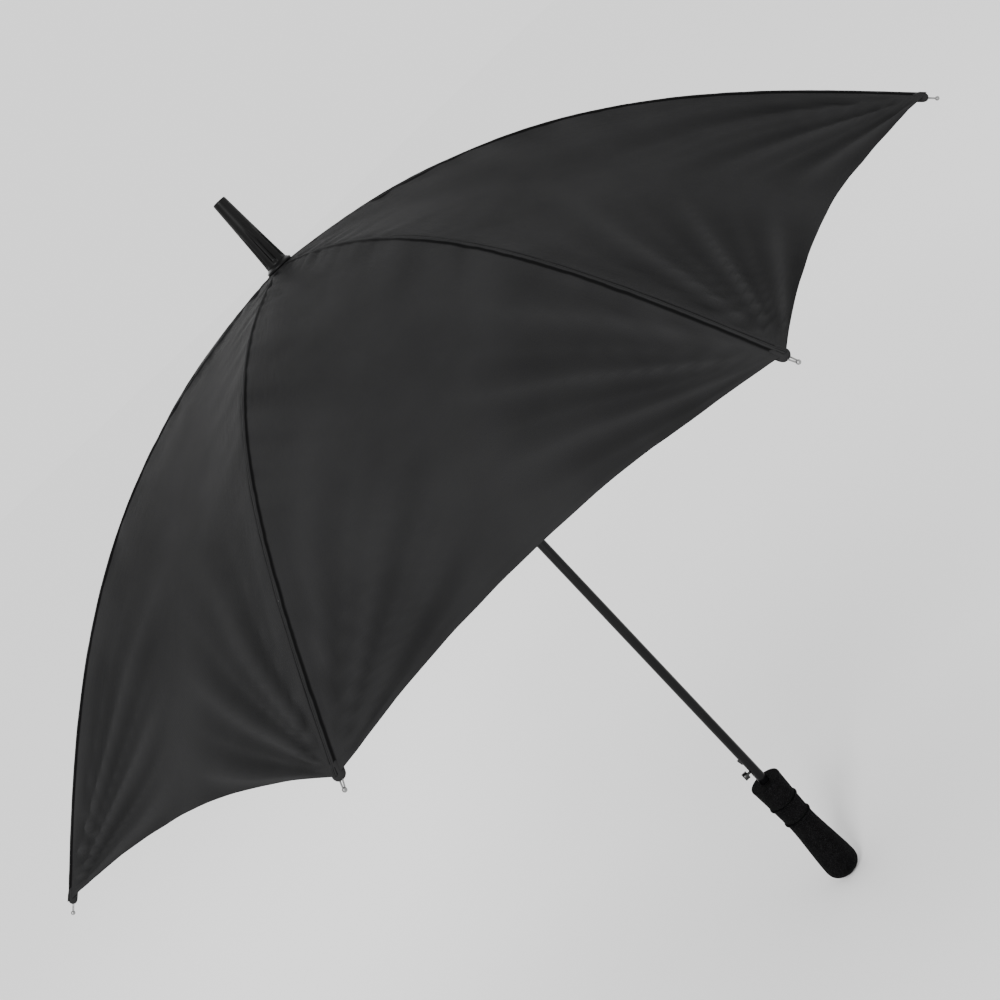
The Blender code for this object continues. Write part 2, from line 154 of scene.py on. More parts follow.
def tube_object(name, points, radius, finish):
    """A round wire through points, as a mesh."""
    data = bpy.data.curves.new(name + "_curve", "CURVE")
    data.dimensions = "3D"
    data.bevel_depth = radius
    data.bevel_resolution = WIRE_ROUNDNESS
    data.use_fill_caps = True
    spline = data.splines.new("POLY")
    spline.points.add(len(points) - 1)
    for point, place in zip(spline.points, points):
        point.co = (*place, 1)
    curve = link(bpy.data.objects.new(name + "_curve", data))
    bpy.context.view_layer.update()
    made = bpy.data.meshes.new_from_object(curve.evaluated_get(bpy.context.evaluated_depsgraph_get()))
    bpy.data.objects.remove(curve)
    made.name = name
    made.shade_smooth()
    made.set_sharp_from_angle(angle=WIRE_SMOOTH_ANGLE)
    made.materials.clear()
    made.materials.append(finish)
    return link(bpy.data.objects.new(name, made))


def azimuth(index):
    return FIRST_RIB_AZIMUTH + index * PITCH


def smoothstep(t):
    t = min(max(t, 0.0), 1.0)
    return t * t * (3 - 2 * t)


# The canopy's curve over a rib

def slope(radius):
    return FIRST_SLOPE + (LAST_SLOPE - FIRST_SLOPE) * smoothstep(radius / TIP_RADIUS)


def curve_table():
    """Arrays of length along the curve, radius and height."""
    step = TIP_RADIUS / PROFILE_STEPS
    length, height = 0.0, APEX_Z
    rows = [(0.0, 0.0, APEX_Z)]
    for i in range(PROFILE_STEPS):
        angle = slope((i + 0.5) * step)
        length += step / math.cos(angle)
        height -= step * math.tan(angle)
        rows.append((length, (i + 1) * step, height))
    return np.array(rows).T


CURVE = curve_table()


def at_length(length):
    """(radius, height) at a length along the curve."""
    radius = np.interp(length, CURVE[0], CURVE[1])
    return float(radius), float(np.interp(length, CURVE[0], CURVE[2]))


def rib_point(radius, under=RIB_UNDER_CLOTH):
    """A point in a rib's plane, X out and Z up, under the cloth."""
    z = float(np.interp(radius, CURVE[1], CURVE[2]))
    angle = slope(radius)
    return Vector((radius - under * math.sin(angle), 0, z - under * math.cos(angle)))


HEM_LENGTH = float(np.interp(CLOTH_CORNER, CURVE[1], CURVE[0]))
START_LENGTH = float(np.interp(CLOTH_HOLE, CURVE[1], CURVE[0]))


# Materials

class Shader:
    """A material's node tree, built a node at a time."""

    def __init__(self, name, colour, roughness, metallic=0.0, **sockets):
        self.material = bpy.data.materials.new(name)
        self.material.use_nodes = True
        self.tree = self.material.node_tree
        self.principled = self.tree.nodes["Principled BSDF"]
        self.set("Base Color", (*colour, 1))
        self.set("Roughness", roughness)
        self.set("Metallic", metallic)
        for socket, value in sockets.items():
            self.set(socket.replace("_", " "), value)
        self.place = self.tree.nodes.new("ShaderNodeTexCoord").outputs["Object"]

    def set(self, socket, value):
        self.principled.inputs[socket].default_value = value

    def node(self, kind, inputs=None, **settings):
        made = self.tree.nodes.new(kind)
        for key, value in settings.items():
            setattr(made, key, value)
        for key, value in (inputs or {}).items():
            if isinstance(value, bpy.types.NodeSocket):
                self.tree.links.new(value, made.inputs[key])
            else:
                made.inputs[key].default_value = value
        return made

    def noise(self, scale, detail=3.0, roughness=0.5, vector=None):
        inputs = {
            "Vector": vector or self.place, "Scale": scale, "Detail": detail, "Roughness": roughness,
        }
        return self.node("ShaderNodeTexNoise", inputs).outputs["Fac"]

    def spread(self, value, low, high, start=0.0, end=1.0):
        """A value mapped linearly from (start, end) to (low, high)."""
        inputs = {"Value": value, "From Min": start, "From Max": end, "To Min": low, "To Max": high}
        return self.node("ShaderNodeMapRange", inputs).outputs["Result"]

    def maths(self, operation, a, b):
        return self.node("ShaderNodeMath", {0: a, 1: b}, operation=operation).outputs[0]

    def add(self, a, b):
        return self.maths("ADD", a, b)

    def times(self, a, b):
        return self.maths("MULTIPLY", a, b)

    def colour(self, value, dark, light, start=0.35, end=0.65):
        """The base colour, from dark to light as a value goes from start to end."""
        ramp = self.node("ShaderNodeValToRGB", {"Fac": value})
        ramp.color_ramp.elements[0].position = start
        ramp.color_ramp.elements[0].color = (*dark, 1)
        ramp.color_ramp.elements[1].position = end
        ramp.color_ramp.elements[1].color = (*light, 1)
        self.tree.links.new(ramp.outputs["Color"], self.principled.inputs["Base Color"])

    def roughness(self, value):
        self.tree.links.new(value, self.principled.inputs["Roughness"])

    def bump(self, value, distance, strength):
        inputs = {"Height": value, "Distance": distance, "Strength": strength}
        made = self.node("ShaderNodeBump", inputs)
        self.tree.links.new(made.outputs["Normal"], self.principled.inputs["Normal"])


CLOTH_DARK = (0.004, 0.004, 0.0041)
CLOTH_LIGHT = (0.0265, 0.0265, 0.0270)
WEAVE_SCALE = 260.0
SEAM_WANDER = 0.0016
# painted shade in the creases' troughs and painted light on their crests, scaled by the relief
RELIEF_PAINTED_SHADE = 0.26
CREASE_SLANT = 0.75
CREASE_SCALE = (170.0, 26.0, 1.0)


def seam_shadow(s, from_seam, along):
    """Painted shade in the stitched ditch beside a seam, which deepens from the apex to the hem."""
    into_ditch = s.spread(from_seam, 1.0, 0.0, start=0.0022, end=0.0040)
    out_of_ridge = s.spread(from_seam, 0.0, 1.0, start=0.0002, end=0.0012)
    depth = s.spread(along, 0.22, 0.62, start=0.08, end=0.34)
    return s.times(s.times(into_ditch, out_of_ridge), depth)


def cloth_material():
    """Close-woven black cloth with a faint satin, with painted shade in the stitched ditch beside each seam
    and painted shade and light along its creases.
    """
    s = Shader("canopy_cloth", (0.014, 0.014, 0.0145), 0.50, Specular_IOR_Level=0.006)
    uv = s.node("ShaderNodeUVMap", uv_map="cloth").outputs["UV"]
    flat = s.node("ShaderNodeSeparateXYZ", {"Vector": uv}).outputs
    from_seam = s.maths("SUBTRACT", flat["X"], s.times(s.noise(55.0, 2.0), SEAM_WANDER))
    relief = s.node("ShaderNodeAttribute", attribute_name="relief").outputs["Fac"]
    # random tone of the cloth, plus painted shade in the creases' troughs and painted light on their crests
    tone_and_shade = s.add(s.spread(s.noise(8.0, 5.0), 0.28, 0.82), s.times(relief, RELIEF_PAINTED_SHADE))
    # painted shade in the stitched ditch beside each seam
    tone_and_shade = s.maths("SUBTRACT", tone_and_shade, seam_shadow(s, from_seam, flat["Y"]))
    s.colour(tone_and_shade, CLOTH_DARK, CLOTH_LIGHT, start=0.0, end=1.0)
    s.roughness(s.spread(s.noise(28.0, 3.0), 0.42, 0.56))
    threads = []
    for direction in ("X", "Y"):
        inputs = {"Vector": uv, "Scale": WEAVE_SCALE, "Distortion": 0.6, "Detail": 1.0}
        wave = s.node("ShaderNodeTexWave", inputs, wave_type="BANDS", bands_direction=direction)
        threads.append(wave.outputs["Fac"])
    weave = s.add(threads[0], threads[1])
    slub = s.times(s.noise(420.0, 2.0), 1.5)
    # short creases that slant away from the seams
    inputs = {"Vector": uv, "Rotation": (0, 0, CREASE_SLANT), "Scale": CREASE_SCALE}
    turned = s.node("ShaderNodeMapping", inputs).outputs["Vector"]
    near = s.spread(flat["X"], 1.0, 0.12, start=0.004, end=0.090)
    crease = s.times(s.times(s.noise(1.0, 3.0, 0.6, vector=turned), near), 9.0)
    s.bump(s.add(s.add(weave, slub), crease), 0.00014, 0.6)
    return s.material


def foam_material():
    """Dense closed-cell foam: matt black, with a fine even grain of paler specks."""
    s = Shader("grip_foam", (0.004, 0.004, 0.0042), 0.80, Specular_IOR_Level=0.03)
    specks = s.noise(1000.0, 4.0, 0.7)
    s.colour(specks, (0.0012, 0.0012, 0.0013), (0.024, 0.024, 0.025), start=0.50, end=0.74)
    s.roughness(s.spread(s.noise(60.0), 0.70, 0.88))
    cells = s.node("ShaderNodeTexVoronoi", {"Vector": s.place, "Scale": 1300.0}).outputs["Distance"]
    s.bump(s.add(cells, s.noise(700.0, 4.0)), 0.0005, 0.8)
    return s.material


def plastic_material(name, shade, rough):
    """Moulded black plastic with a fine spark-eroded grain and slight handling marks."""
    s = Shader(name, (shade, shade, shade * 1.04), rough, Specular_IOR_Level=0.09)
    s.colour(s.noise(45.0, 4.0), (shade * 0.8,) * 3, (shade * 1.3,) * 3)
    s.roughness(s.spread(s.noise(120.0, 4.0), rough - 0.06, rough + 0.10))
    s.bump(s.noise(1600.0, 2.0), 0.00008, 0.4)
    return s.material


def lacquer_material():
    """Gloss black lacquer on the steel shaft, with faint orange peel and rub marks along it."""
    s = Shader("shaft_black", (0.002, 0.002, 0.0022), 0.12, Specular_IOR_Level=0.13)
    drawn_out = s.node("ShaderNodeMapping", {"Vector": s.place, "Scale": (600.0, 600.0, 9.0)})
    s.roughness(s.spread(s.noise(1.0, 4.0, vector=drawn_out.outputs["Vector"]), 0.07, 0.16))
    s.colour(s.noise(30.0), (0.002, 0.002, 0.0022), (0.004, 0.004, 0.0044))
    s.bump(s.noise(260.0, 2.0), 0.00005, 0.3)
    return s.material


def metal_material(name, shade, rough, scale):
    """Metal with fine drawing lines and a little tarnish."""
    s = Shader(name, (shade,) * 3, rough, 1.0)
    s.colour(s.noise(scale, 4.0), (shade * 0.75,) * 3, (shade * 1.12,) * 3)
    s.roughness(s.spread(s.noise(scale * 2.5, 3.0), rough - 0.08, rough + 0.12))
    s.bump(s.noise(scale * 4, 2.0), 0.00004, 0.4)
    return s.material


def fibre_material():
    """Black glass-fibre rod with its strands showing faintly under the resin."""
    s = Shader("rib_fibre", (0.014, 0.014, 0.015), 0.3, Coat_Weight=0.25, Coat_Roughness=0.2)
    s.colour(s.noise(300.0, 3.0), (0.010, 0.010, 0.011), (0.024, 0.024, 0.026))
    s.roughness(s.spread(s.noise(200.0), 0.24, 0.42))
    s.bump(s.noise(1200.0, 2.0), 0.00006, 0.3)
    return s.material


CLOTH = cloth_material()
FOAM = foam_material()
MOULDED = plastic_material("ferrule_black", 0.004, 0.36)
CROWN_PLASTIC = plastic_material("crown_black", 0.010, 0.50)
LACQUER = lacquer_material()
SILVER = metal_material("bright_wire", 0.24, 0.26, 700.0)
KNOB_METAL = metal_material("knob_metal", 0.045, 0.30, 500.0)
FIBRE = fibre_material()


# Canopy

FULL_CREASE = 0.0022  # height of a crease that has full relief
PANEL_SLACK = (0.45, 0.80, 0.60, 0.90, 0.55, 0.75, 0.60, 0.85)  # how loosely each panel is pulled
SEED_STEP = 7.31

PULL_HEIGHT = 0.0021
PULL_PEAK = 0.06  # distance from the corner at which the pull folds are highest
PULL_SPREAD = 0.17
PULL_RATE = 8  # folds in pi radians round the corner
PULL_FINE_RATE = 15
PULL_FINE_SHARE = 0.6
PULL_BEND = 1.1

RIPPLE_SLANT = 0.9
RIPPLE_HEIGHT = 0.0019
RIPPLE_RATE = 26
RIPPLE_REACH = 0.055
FINE_HEIGHT = 0.0009
FINE_RATE = 62
FINE_REACH = 0.035
FINE_AT_APEX = 3.2
RIPPLE_FADE_START = 0.45  # share of the way to the hem where the ripples begin to fade
RIPPLE_FADE_SPAN = 0.35

SLACK_HEIGHT = 0.0030
WAVE_HEIGHT = 0.0016
GATHER_HEIGHT = 0.0010
GATHER_RATE = 15
GATHER_REACH = 0.035
GATHER_RELIEF = 1.3
CALM_HALF = 0.35  # share of the half width round the middle line that has no creases
FLUTTER = 0.0014

SEAM_HALF = 0.0017
SEAM_RISE = 0.0006
DITCH_OFFSET = 0.0018
DITCH_WIDTH = 0.0013
DITCH_DEPTH = 0.0005
HEM_BAND = 0.0070
HEM_RISE = 0.0006
FOLD_WIDTH = 0.0010

EVEN_STEPS = 20
SEAM_STEPS = (0.966, 0.977, 0.984, 0.9885, 0.992, 0.9955, 1.0)
HEM_STEPS = (0.980, 0.985, 0.988, 0.9905, 0.994, 0.997, 1.0)
AREA_STRIPS = 200


def ridged(phase):
    """A wave with soft troughs and narrow crests, from -1 to 1."""
    return 1 - 2 * abs(math.sin(phase)) ** 0.8


def pull_folds(edge, to_hem, seed, side):
    """Height of the folds that fan out of the corner at the rib's tip."""
    reach = math.hypot(edge, to_hem)
    fan = math.atan2(edge, max(to_hem, 1e-5))
    bend = PULL_BEND * noise.noise(Vector((reach * 6, seed, side * 2.0)))
    lines = ridged(fan * PULL_RATE + bend + seed + side * 1.3)
    lines += PULL_FINE_SHARE * ridged(fan * PULL_FINE_RATE + 1.4 * bend + 2.2 * seed)
    away = math.exp(-((reach - PULL_PEAK) / PULL_SPREAD) ** 2)
    return PULL_HEIGHT * lines * away * smoothstep(reach / 0.05) * smoothstep(edge / 0.02)


def seam_ripples(edge, length, share, seed, side):
    """Height of the slanting ripples beside a seam: the fine ones are stronger near the apex."""
    slant = length - RIPPLE_SLANT * edge
    fade = smoothstep((share - RIPPLE_FADE_START) / RIPPLE_FADE_SPAN)
    beat = noise.noise(Vector((slant * RIPPLE_RATE, seed, side * 3.7)))
    ripple = RIPPLE_HEIGHT * beat * smoothstep(edge / 0.010) * math.exp(-edge / RIPPLE_REACH)
    ripple *= smoothstep(share / 0.25) * (1 - 0.7 * fade)
    beat = noise.noise(Vector((slant * FINE_RATE, edge * 12, seed + side)))
    fine = FINE_HEIGHT * beat * (FINE_AT_APEX - (FINE_AT_APEX - 1) * smoothstep(share / 0.4))
    fine *= smoothstep(edge / 0.005) * math.exp(-edge / FINE_REACH) * (1 - 0.8 * fade)
    return ripple + fine


def wrinkle(index, across, length, half_width):
    """How far the cloth stands off its smooth shape, outwards, in metres, and its relief from -1 to 1, which
    also sets the cloth's painted shade and painted light along the creases.
    """
    share = length / HEM_LENGTH
    inside = 1 - across * across
    edge = (1 - abs(across)) * half_width  # distance from the nearer rib
    side = 1 if across > 0 else -1
    seed = index * SEED_STEP
    creases = pull_folds(edge, HEM_LENGTH - length, seed, side) * PANEL_SLACK[index]
    creases += seam_ripples(edge, length, share, seed, side)
    creases *= smoothstep(abs(across) / CALM_HALF)  # both halves meet smoothly in the middle
    # broad slackness in the middle of the panel
    broad = SLACK_HEIGHT * noise.noise(Vector((across * 1.6 + seed, share * 3.4, 4.2)))
    broad *= inside * smoothstep(share / 0.4)
    # a wavy hem
    wave = WAVE_HEIGHT * noise.noise(Vector((across * 4.3, seed, 9.1)))
    wave *= inside * smoothstep((share - 0.9) / 0.1)
    # gathers along the hem's stitching
    gather = GATHER_HEIGHT * noise.noise(Vector((across * GATHER_RATE + seed, 3.3, share * 2)))
    gather *= smoothstep(edge / 0.02) * math.exp(-(1 - share) / GATHER_REACH)
    return creases + gather + broad + wave, (creases + GATHER_RELIEF * gather) / FULL_CREASE


def hem_length(across, index):
    """Length along the curve at which the hem crosses a panel."""
    inside = 1 - across * across
    flutter = FLUTTER * noise.noise(Vector((across * 5.2, index * 3.1, 2.0))) * inside
    return HEM_LENGTH - HEM_SCALLOP * inside + flutter


def cloth_point(index, across, share):
    """A point of panel index, in the row frame, at a share of the way from the apex to the hem.

    With it come its length along the curve, its distance from the nearer rib and its relief.
    """
    end = hem_length(across, index)
    length = START_LENGTH + (end - START_LENGTH) * share
    r, z = at_length(length)
    half_width = r * math.sin(HALF_PITCH)
    edge = (1 - abs(across)) * half_width
    out, relief = wrinkle(index, across, length, half_width)
    arch = math.sin(math.pi * min(length / HEM_LENGTH, 1.0) ** 1.3 * 0.75)
    out -= CLOTH_SAG * (1 - across * across) * arch
    pucker = 1 + 0.5 * noise.noise(Vector((length * 75, index * 2.7, 0.5)))
    beside = 1 - smoothstep((edge - SEAM_HALF) / FOLD_WIDTH)
    out += SEAM_RISE * pucker * beside * smoothstep(length / 0.05)
    into_ditch = (edge - SEAM_HALF - DITCH_OFFSET) / DITCH_WIDTH
    out -= DITCH_DEPTH * math.exp(-into_ditch ** 2) * smoothstep(length / 0.08)
    out += HEM_RISE * (1 - smoothstep((end - length - HEM_BAND) / FOLD_WIDTH))
    angle = slope(r)
    middle = r * math.cos(HALF_PITCH)
    place = Vector((middle + out * math.sin(angle), half_width * across, z + out * math.cos(angle)))
    return place, length, edge, relief


# Positions across half a panel, 0 in the middle and 1 on the rib, close together by the seam
ACROSS = [i / EVEN_STEPS for i in range(EVEN_STEPS)] + list(SEAM_STEPS)
# Shares of the way to the hem, close together at the hem's fold
ROWS = [HEM_STEPS[0] * i / CLOTH_ROWS for i in range(CLOTH_ROWS)] + list(HEM_STEPS)


def half_panel(index, side):
    """Half of a panel, from its middle line to the rib it is sewn to."""
    word = "left" if side < 0 else "right"
    name = f"canopy_{index + 1}_{word}"
    turn = Matrix.Rotation(azimuth(index + 0.5), 4, "Z")
    shape = bmesh.new()
    uv = shape.loops.layers.uv.new("cloth")
    shade = shape.verts.layers.float.new("relief")
    grid, flat = [], {}
    for share in ROWS:
        row = []
        for step in ACROSS:
            place, length, edge, relief = cloth_point(index, side * step, share)
            vert = shape.verts.new(turn @ place)
            vert[shade] = relief
            flat[vert] = (edge, length)
            row.append(vert)
        grid.append(row)
    for a, b in zip(grid, grid[1:]):
        for j in range(len(ACROSS) - 1):
            corners = (a[j], b[j], b[j + 1], a[j + 1])
            face = shape.faces.new(corners if side > 0 else corners[::-1])
            for loop in face.loops:
                loop[uv].uv = flat[loop.vert]
    shape.edges.index_update()
    borders = [edge.index for edge in shape.edges if edge.is_boundary]
    piece = mesh_object(name, shape, CLOTH)
    for border in borders:
        piece.data.edges[border].use_edge_sharp = True
    return piece, word


def half_panel_area():
    """Flat area of half a panel, and the width of the piece it is cut from."""
    area, widest = 0.0, 0.0
    for i in range(AREA_STRIPS):
        length = HEM_LENGTH * (i + 0.5) / AREA_STRIPS
        half_width = at_length(length)[0] * math.sin(HALF_PITCH)
        cut = (length - (HEM_LENGTH - HEM_SCALLOP)) / HEM_SCALLOP
        reach = 1 - math.sqrt(min(max(cut, 0.0), 1.0))
        area += half_width * reach * HEM_LENGTH / AREA_STRIPS
        widest = max(widest, half_width)
    return area, widest


def canopy():
    """Sixteen half panels, each reaching from the panel's middle line to the rib it is sewn to."""
    area, widest = half_panel_area()
    for index in range(RIB_COUNT):
        for side in (-1, 1):
            piece, word = half_panel(index, side)
            node = f"panel_{index + 1}_{word}"
            cloth = piece.modifiers.new("Cloth", "SOLIDIFY")
            cloth.thickness = CLOTH_THICK
            cloth.offset = -1
            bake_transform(piece)
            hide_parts(node)


# Rib tips

TIP_START = 0.5859  # radius at which the wire leaves the rib
COLLAR_PROFILE = (
    (0.0014, 0.0), (0.0019, 0.0004), (0.0020, 0.0012), (0.0017, 0.0016), (0.0020, 0.0020),
    (0.0019, 0.0032), (0.0012, 0.0036),
)
TIP_SEGMENTS = 28
BALL_R = 0.0021
BALL_STEPS = 20
STRAND_R = 0.00070
STRAND_STEPS = 8
STRAND_START = 0.002
STRAND_SHORT = 0.003
STRAND_SPREAD = (0.0013, 0.0009)  # half the gap between the strands, at the collar and at the ball
STRAND_BOW = 0.0003


def rib_tips():
    """Two wire strands from a crimped collar to a ball."""
    start = rib_point(TIP_START)
    to_ball = rib_point(TIP_RADIUS) - start
    reach = to_ball.length
    line = to_ball.normalized()
    side = Vector((0, 1, 0))
    normal = Vector((-line.z, 0, line.x))
    along_wire = Matrix((normal, side, line)).transposed().to_4x4()
    along_wire.translation = start
    ball = []
    for i in range(1, BALL_STEPS):
        a = math.pi * i / BALL_STEPS
        ball.append((BALL_R * math.sin(a), reach - BALL_R * math.cos(a)))
    for k in range(1, RIB_COUNT + 1):
        turn = Matrix.Rotation(azimuth(k - 1), 4, "Z")
        pieces = []
        for word, profile in (("collar", COLLAR_PROFILE), ("ball", ball)):
            shape = turned_shape(profile, TIP_SEGMENTS)
            shape.transform(turn @ along_wire)
            pieces.append(mesh_object(f"tip_{k}_{word}", shape, SILVER, smooth_angle=40))
        for word, sign in (("a", 1), ("b", -1)):
            points = []
            for i in range(STRAND_STEPS + 1):
                t = i / STRAND_STEPS
                gap = STRAND_SPREAD[0] + (STRAND_SPREAD[1] - STRAND_SPREAD[0]) * t
                gap += STRAND_BOW * math.sin(math.pi * t)
                far = STRAND_START + (reach - STRAND_SHORT) * t
                points.append(turn @ (start + line * far + side * sign * gap))
            pieces.append(tube_object(f"tip_{k}_strand_{word}", points, STRAND_R, SILVER))
        for piece in pieces:
            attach(piece, f"rib_{k}")
        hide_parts(f"rib_tip_{k}")


# Corner pockets

POCKET_START = 0.579  # radius where a corner's pocket begins, and where its blunt end is
POCKET_END = 0.5943
POCKET_HALF = 0.0058
POCKET_TOP = -0.0004  # depth of its top and of its underside below the cloth
POCKET_LOW = 0.0080
POCKET_STEPS = 26
POCKET_AROUND = 48
POCKET_MOUTH = 0.35  # its size at the mouth, as a share of the whole
POCKET_ROUND = 0.72  # share of its length at which the blunt end begins to round off
POCKET_CLOSED = 0.04
PLEATS = 5
PLEAT_DEPTH = 0.07
POCKET_UV_SHIFT = 0.05  # sideways start of the pockets' weave


def pocket_ring(k, t):
    """A ring of a corner's pocket, in its rib's plane, at a share of the way to the blunt end."""
    radius = POCKET_START + (POCKET_END - POCKET_START) * t
    top = rib_point(radius, POCKET_TOP)
    low = rib_point(radius, POCKET_LOW)
    blunt = math.sqrt(max(0.0, 1 - max(0.0, (t - POCKET_ROUND) / (1 - POCKET_ROUND)) ** 2.4))
    grow = max(POCKET_CLOSED, blunt * (POCKET_MOUTH + (1 - POCKET_MOUTH) * smoothstep(t / 0.5)))
    ring = []
    for j in range(POCKET_AROUND):
        a = 2 * math.pi * j / POCKET_AROUND
        c, s = math.cos(a), math.sin(a)
        pleat = 1 + PLEAT_DEPTH * math.sin(PLEATS * a + k * 2.1 + 3 * t) * math.sin(math.pi * t)
        wide = POCKET_HALF * grow * pleat * math.copysign(abs(c) ** 0.8, c)
        tall = grow * pleat * math.copysign(abs(s) ** 0.9, s)
        ring.append((top + low) / 2 + (top - low) / 2 * tall + Vector((0, wide, 0)))
    return ring


def corner_pockets():
    """Small sewn pockets in which the ribs end: the cloth is gathered round them at each corner."""
    for k in range(RIB_COUNT):
        turn = Matrix.Rotation(azimuth(k), 4, "Z")
        rings = [pocket_ring(k, i / POCKET_STEPS) for i in range(POCKET_STEPS + 1)]
        shape = rings_to_shape([[turn @ point for point in ring] for ring in rings])
        bmesh.ops.recalc_face_normals(shape, faces=shape.faces)
        uv = shape.loops.layers.uv.new("cloth")
        for face in shape.faces:
            for loop in face.loops:
                loop[uv].uv = (POCKET_UV_SHIFT + loop.vert.co.x, loop.vert.co.z)
        piece = mesh_object(f"corner_pocket_{k + 1}", shape, CLOTH, smooth_angle=60)
        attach(piece, f"rib_{k + 1}")


# Ferrule

FERRULE_BASE_R = 0.0123
FERRULE_END_R = 0.0078
FERRULE_STEPS = 64
FERRULE_SEGMENTS = 200
# radius and drop from the end
END_ROUND = ((0.0076, 0.0009), (0.0071, 0.0003), (0.0064, 0.00005), (0.0030, 0.0))
END_BEVEL = 0.0018
FOOT_DROP = 0.0016
FINS = 6
FIN_DEPTH = (0.0004, 0.0020)  # depth between the fins, at the end and at the base
FLANGE_SEGMENTS = 128
FLANGE_BORE = 0.0066
FLANGE_LOW = 0.0011  # height of its underside and its top above the apex, at the bore
FLANGE_HIGH = 0.0041
FLANGE_EDGE = 0.0004


def ferrule_radius(r, z, angle):
    """Straight moulded fins that grow towards the ferrule's base."""
    down = 1 - (z - FERRULE_BASE_Z) / (FERRULE_END_Z - FERRULE_BASE_Z)
    ridge = smoothstep((math.cos(FINS * angle) + 0.55) / 0.45)
    grown = smoothstep((down - 0.42) / 0.25)
    foot = smoothstep((z - FERRULE_BASE_Z) / 0.004)
    depth = FIN_DEPTH[0] + (FIN_DEPTH[1] - FIN_DEPTH[0]) * down
    return r - depth * (1 - ridge) * grown * foot


def ferrule():
    """A finned, tapering spike, and the dished flange that holds the cloth down."""
    end, base = FERRULE_END_Z, FERRULE_BASE_Z
    profile = [(HUB_BORE, base), (FERRULE_BASE_R - 0.0002, base - FOOT_DROP), (FERRULE_BASE_R, base - 0.0013)]
    for i in range(FERRULE_STEPS + 1):
        t = i / FERRULE_STEPS
        r = FERRULE_BASE_R - (FERRULE_BASE_R - FERRULE_END_R) * t ** 0.85
        profile.append((r, base + (end - END_BEVEL - base) * t))
    profile += [(r, end - drop) for r, drop in END_ROUND]
    shape = turned_shape(profile, FERRULE_SEGMENTS, ferrule_radius)
    body = mesh_object("ferrule_body", shape, MOULDED, smooth_angle=40)
    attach(body, "shaft")
    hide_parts("ferrule")
    low, high = APEX_Z + FLANGE_LOW, APEX_Z + FLANGE_HIGH
    droop = FLANGE_R * math.tan(FIRST_SLOPE) + 0.0009
    profile = [
        (FLANGE_BORE, low - droop * 0.42),
        (FLANGE_R - FLANGE_EDGE, low - droop), (FLANGE_R, low - droop + 0.0006),
        (FLANGE_R, high - droop - 0.0009), (FLANGE_R - FLANGE_EDGE, high - droop - 0.0003),
        (FLANGE_R - 0.0013, high - droop), (0.0125, high - 0.0006), (0.0110, high), (FLANGE_BORE, high),
    ]
    shape = turned_shape(profile, FLANGE_SEGMENTS)
    flange = mesh_object("ferrule_collar", shape, MOULDED, smooth_angle=50)
    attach(flange, "shaft")
    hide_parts("ferrule_flange")


# Grip

GRIP_SEGMENTS = 128
GRIP_FLARE = 0.0034
GRIP_STEP = 0.0009
GRIP_END_HEIGHTS = (0.00005, 0.0002, 0.0005, 0.0009)
GRIP_END = 0.0014
GRIP_TOP_EDGE = 0.0032
# radius and drop from the top, over the grip's top edge and into its bore
GRIP_TOP = (
    (0.01965, 0.0026), (0.0196, 0.0013), (0.0193, 0.0005), (0.0186, 0.0001),
    (0.0165, 0.0001), (0.0110, 0.0003), (0.0068, 0.0004), (0.0061, 0.0009),
)
GROOVE_DEPTH = 0.0012
GROOVE_WIDTH = 0.0014
BAND_AROUND = 20
GRAIN = 0.00012
FINE_GRAIN = 0.00008
BAND_OUT = 0.0001


def grip_radius(z):
    """The grip's radius: waisted under the lower ring, swelling to a blunt end."""
    if z > GRIP_WAIST_Z:
        up = (z - GRIP_WAIST_Z) / (HANDLE_TOP_Z - GRIP_WAIST_Z)
        return GRIP_WAIST_R + GRIP_FLARE * up ** 1.3
    if z > GRIP_BELLY_Z:
        t = (GRIP_WAIST_Z - z) / (GRIP_WAIST_Z - GRIP_BELLY_Z)
        return GRIP_WAIST_R + (GRIP_BELLY_R - GRIP_WAIST_R) * (t + smoothstep(t)) / 2
    t = (GRIP_BELLY_Z - z) / GRIP_BELLY_Z
    return GRIP_BELLY_R * math.sqrt(max(0.0, 1 - t ** 2.8))


def grip_grain(r, z, angle):
    """The foam's skin, which is never quite even."""
    if r < CORE_R:
        return r
    place = Vector((math.cos(angle) * 3, math.sin(angle) * 3, z * 160))
    return r + GRAIN * noise.noise(place) + FINE_GRAIN * noise.noise(place * 4)


def grip_body():
    profile = [(grip_radius(z), z) for z in GRIP_END_HEIGHTS]
    z = GRIP_END
    while z < HANDLE_TOP_Z - GRIP_TOP_EDGE:
        r = grip_radius(z)
        for ring in GRIP_RING_Z:
            d = abs(z - ring)
            if d < GRIP_RING_R + GROOVE_WIDTH:
                r -= GROOVE_DEPTH * (1 - smoothstep((d - GRIP_RING_R) / GROOVE_WIDTH))
        profile.append((r, z))
        z += GRIP_STEP
    profile += [(r, HANDLE_TOP_Z - drop) for r, drop in GRIP_TOP]
    return mesh_object("grip_body", turned_shape(profile, GRIP_SEGMENTS, grip_grain), FOAM, smooth_angle=60)


